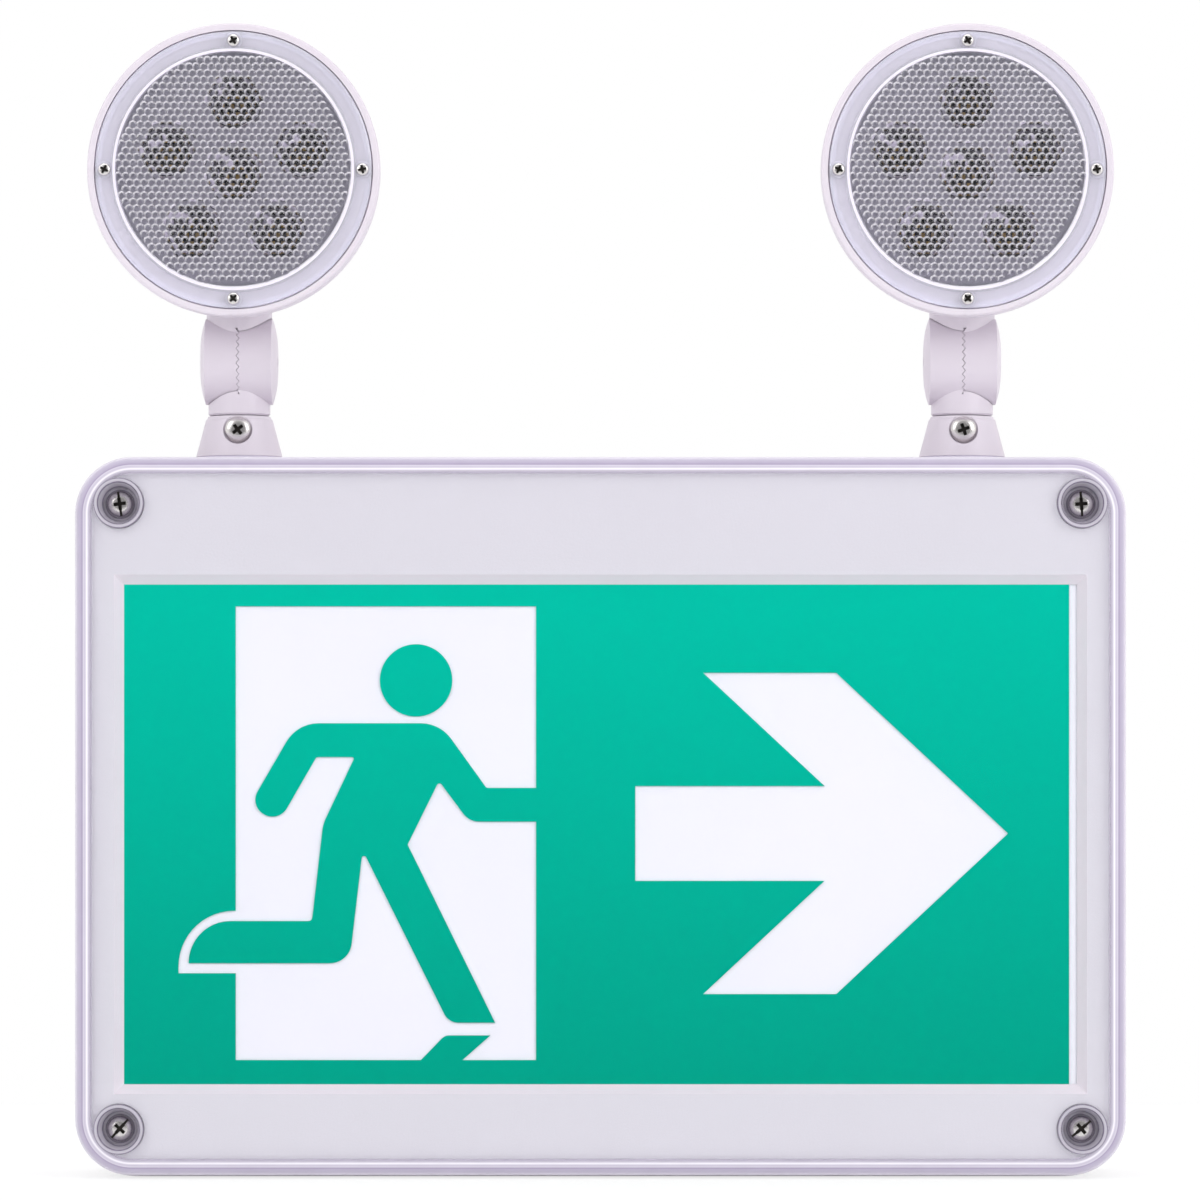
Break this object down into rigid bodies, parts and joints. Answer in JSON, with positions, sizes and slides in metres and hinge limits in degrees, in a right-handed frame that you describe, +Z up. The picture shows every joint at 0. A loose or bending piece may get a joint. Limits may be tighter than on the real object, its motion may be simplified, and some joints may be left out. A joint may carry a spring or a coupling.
{
  "type": "emergency exit light",
  "caption": "Wall-mounted emergency exit light: sealed sign box with a running man and right arrow behind a clear cover, with aimable round LED lamp heads on toothed knuckles on top.",
  "frame": {"origin": "centre of the wiring entry on the wall face of the housing", "axes": "+X to the right as seen from the front, +Y into the wall, +Z up; the front faces -Y"},
  "size_m": [0.35, 0.088, 0.3825],
  "materials": {
    "white_housing": "fine texture",
    "clear": "clear, polished",
    "optic_clear": "clear, polished",
    "seal_rubber": "soft",
    "steel": "bright",
    "legend_green": "printed",
    "legend_white": "diffusing",
    "rail": "plain",
    "led": "yellow phosphor",
    "plate_grey": "silver grey",
    "battery_wrap": "shrink wrap over steel cells",
    "board_green": "lacquered",
    "iron_core": "laminated",
    "black_plastic": "moulded",
    "pilot_red": "clear tint",
    "button_red": "moulded",
    "nut_plastic": "moulded",
    "nut_brass": "plain"
  },
  "bodies": {
    "housing": {"rear_housing": "white_housing", "housing_gasket": "seal_rubber", "wall_gasket": "seal_rubber", "clear_cover": "clear", "cover_screw_seals": "seal_rubber", "cover_screws": "steel", "face_panel": "white_housing", "legend_film": "legend_green", "legend_diffuser": "legend_white", "led_rails": "rail", "sign_led_boards": "rail", "sign_leds": "led", "battery_pack": "battery_wrap", "battery_strap": "steel", "charger_board": "board_green", "transformer": "iron_core", "terminal_block": "black_plastic", "board_parts": "black_plastic", "inner_screws": "steel", "test_switch": "black_plastic", "test_switch_nut": "nut_brass", "pilot_light": "pilot_red", "left_collar": "white_housing", "left_collar_gasket": "seal_rubber", "left_collar_nut": "nut_plastic", "left_lock_screw": "steel", "right_collar": "white_housing", "right_collar_gasket": "seal_rubber", "right_collar_nut": "nut_plastic", "right_lock_screw": "steel"},
    "left_arm": {"left_base_arm": "white_housing", "left_stem_clip": "steel", "left_knuckle_screw": "steel", "left_knuckle_insert": "nut_brass"},
    "left_head": {"left_head_shell": "white_housing", "left_lens_gasket": "seal_rubber", "left_lens": "clear", "left_lens_screws": "steel", "left_lamp_board": "rail", "left_lamp_leds": "led", "left_optics": "optic_clear", "left_reflector_plate": "plate_grey"},
    "right_arm": {"right_base_arm": "white_housing", "right_stem_clip": "steel", "right_knuckle_screw": "steel", "right_knuckle_insert": "nut_brass"},
    "right_head": {"right_head_shell": "white_housing", "right_lens_gasket": "seal_rubber", "right_lens": "clear", "right_lens_screws": "steel", "right_lamp_board": "rail", "right_lamp_leds": "led", "right_optics": "optic_clear", "right_reflector_plate": "plate_grey"},
    "test_button": {"test_button": "button_red"}
  },
  "joints": [
    {"name": "left_pan", "type": "hinge", "parent": "housing", "child": "left_arm", "pos_m": [-0.1215, -0.044, 0.121], "axis": [0, 0, 1], "range_deg": [-170, 170]},
    {"name": "left_tilt", "type": "hinge", "parent": "left_arm", "child": "left_head", "pos_m": [-0.1215, -0.044, 0.153], "axis": [1, 0, 0], "range_deg": [-30, 60]},
    {"name": "right_pan", "type": "hinge", "parent": "housing", "child": "right_arm", "pos_m": [0.1215, -0.044, 0.121], "axis": [0, 0, 1], "range_deg": [-170, 170]},
    {"name": "right_tilt", "type": "hinge", "parent": "right_arm", "child": "right_head", "pos_m": [0.1215, -0.044, 0.153], "axis": [1, 0, 0], "range_deg": [-30, 60]},
    {"name": "test_press", "type": "slide", "parent": "housing", "child": "test_button", "axis": [0, 0, 1], "range_m": [0, 0.002], "stiffness_N_per_m": 400, "springref_m": -0.004}
  ]
}
